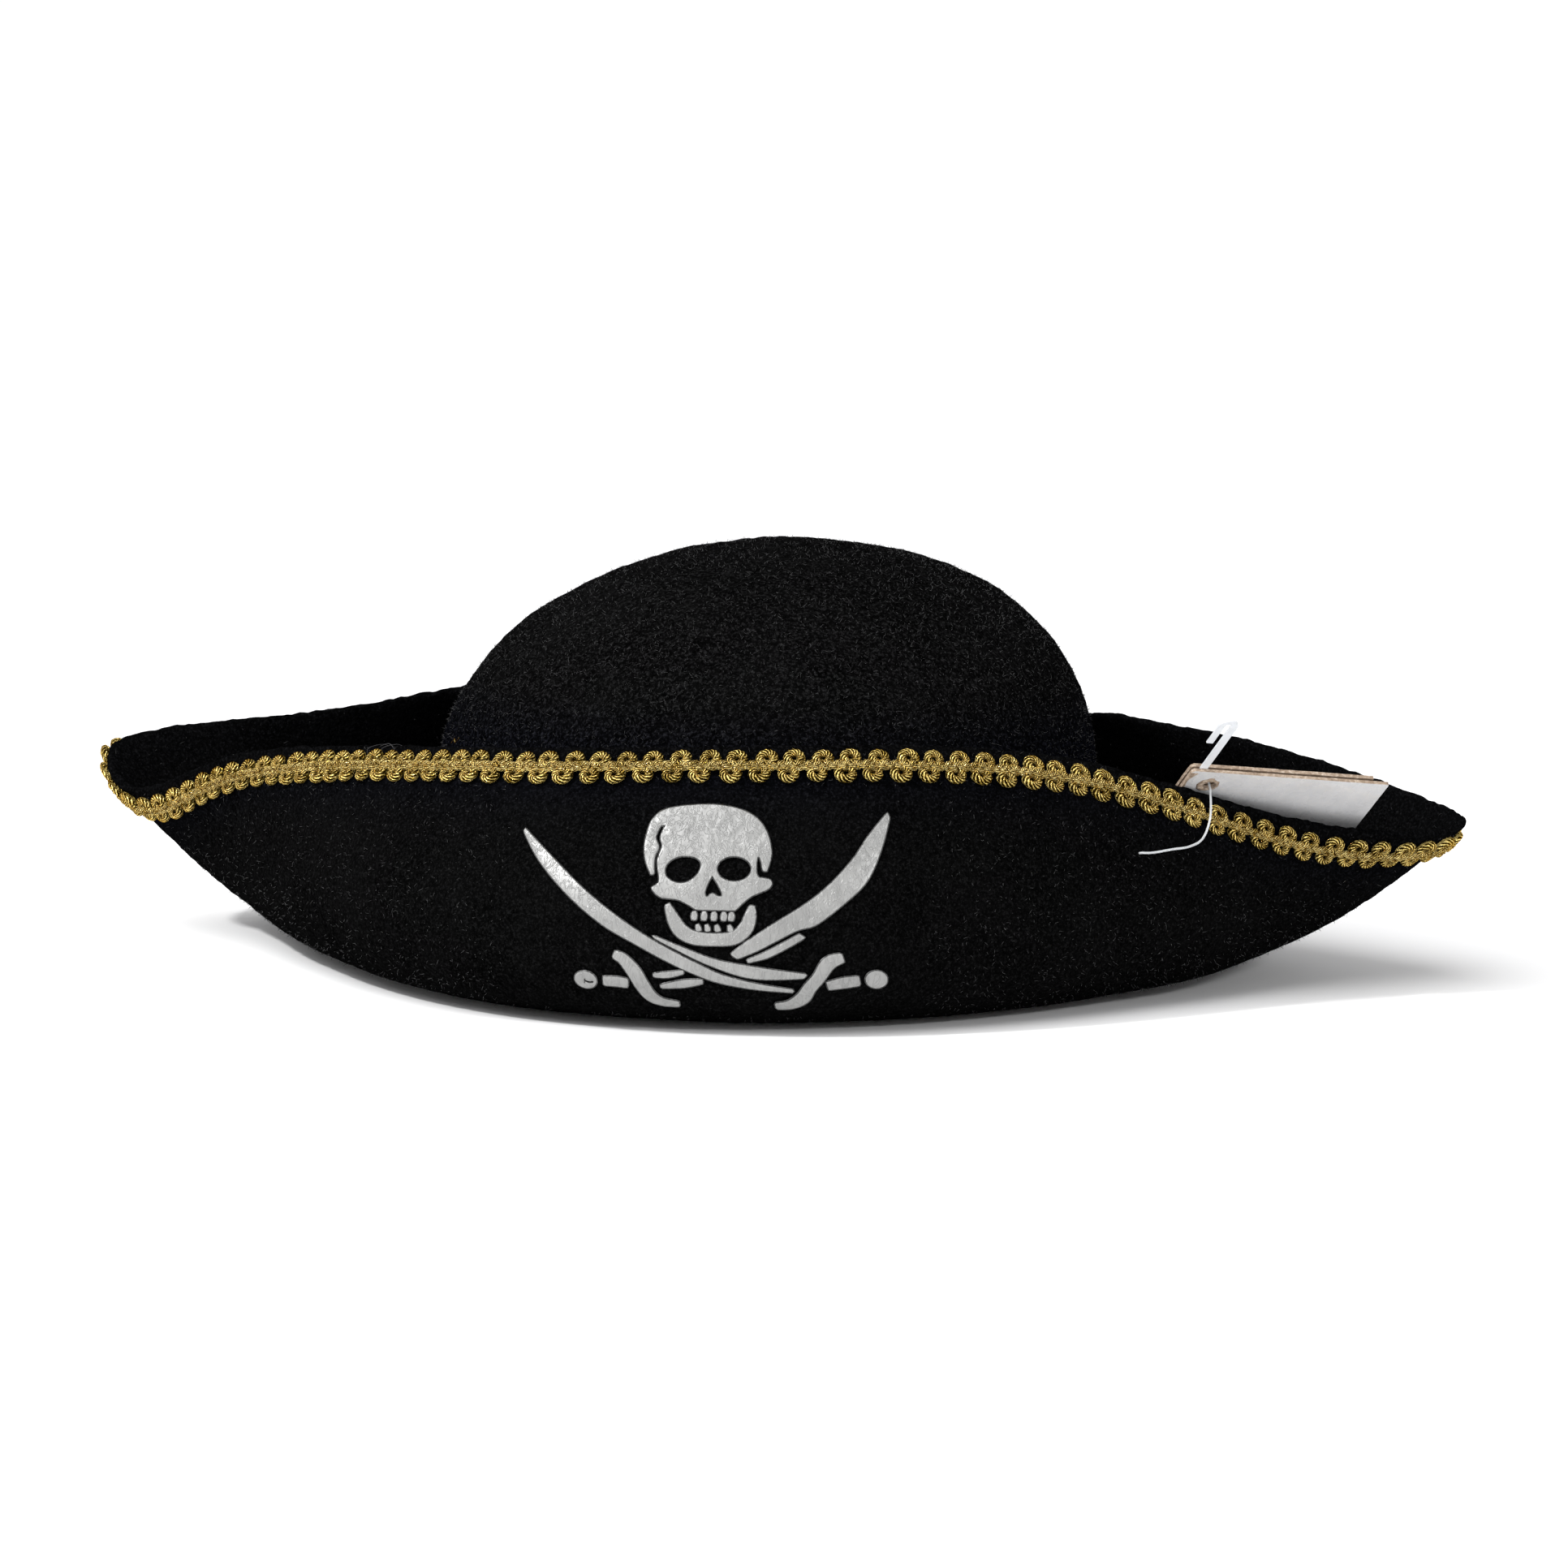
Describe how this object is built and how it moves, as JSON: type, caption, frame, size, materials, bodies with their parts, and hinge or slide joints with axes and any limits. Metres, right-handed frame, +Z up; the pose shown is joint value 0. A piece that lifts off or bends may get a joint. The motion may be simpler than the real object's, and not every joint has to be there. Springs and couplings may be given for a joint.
{
  "type": "pirate hat",
  "caption": "Black felt pirate hat with three turned-up corners, gold gimp braid on the brim's edge, a silver skull and crossed cutlasses in front and a folded hang tag.",
  "frame": {"origin": "centre of the head opening on the plane of the brim's underside", "axes": "+Z up, front flap towards -Y, +X to the viewer's right from the front, towards the corner with the tag"},
  "size_m": [0.3723, 0.3152, 0.113],
  "materials": {
    "crown_felt": "fuzzy brushed felt with pale flecks",
    "brim_felt": "smooth pressed felt",
    "black_thread": "sewing thread",
    "grey_thread": "sewing thread",
    "sweatband_tape": "woven tape",
    "label_tape": "woven satin",
    "gold_cord": "metallic thread, shiny",
    "gold_gimp": "metallic thread, satin",
    "silver_film": "wrinkled metallic heat-transfer film",
    "white_card": "coated card with faint marbling",
    "kraft_card": "matt kraft board",
    "clear_nylon": "translucent nylon",
    "clear_plastic": "clear plastic sheet"
  },
  "bodies": {
    "hat": {"crown": "crown_felt", "brim": "brim_felt", "crown_seam": "black_thread", "sweatband": "sweatband_tape", "sweatband_stitches": "grey_thread", "size_label": "label_tape", "braid_core": "gold_cord", "braid_upper_scrolls": "gold_gimp", "braid_lower_scrolls": "gold_gimp", "emblem_skull": "silver_film", "emblem_jaw": "silver_film", "emblem_teeth": "silver_film", "emblem_blade_front": "silver_film", "emblem_blade_back": "silver_film", "emblem_blade_stubs": "silver_film", "emblem_guard_left": "silver_film", "emblem_guard_right": "silver_film", "emblem_grip_left": "silver_film", "emblem_grip_right": "silver_film", "emblem_pommel_left": "silver_film", "emblem_pommel_right": "silver_film", "tag_pin": "clear_nylon"},
    "tag": {"tag_front_leaf": "white_card", "tag_back_leaf": "kraft_card", "tag_hook": "clear_plastic"}
  },
  "joints": [
    {"name": "tag_swing", "type": "hinge", "parent": "hat", "child": "tag", "pos_m": [0.12354, -0.04945, 0.05902], "axis": [0.2129, -0.5829, -0.7842], "range_deg": [0, 50]}
  ]
}
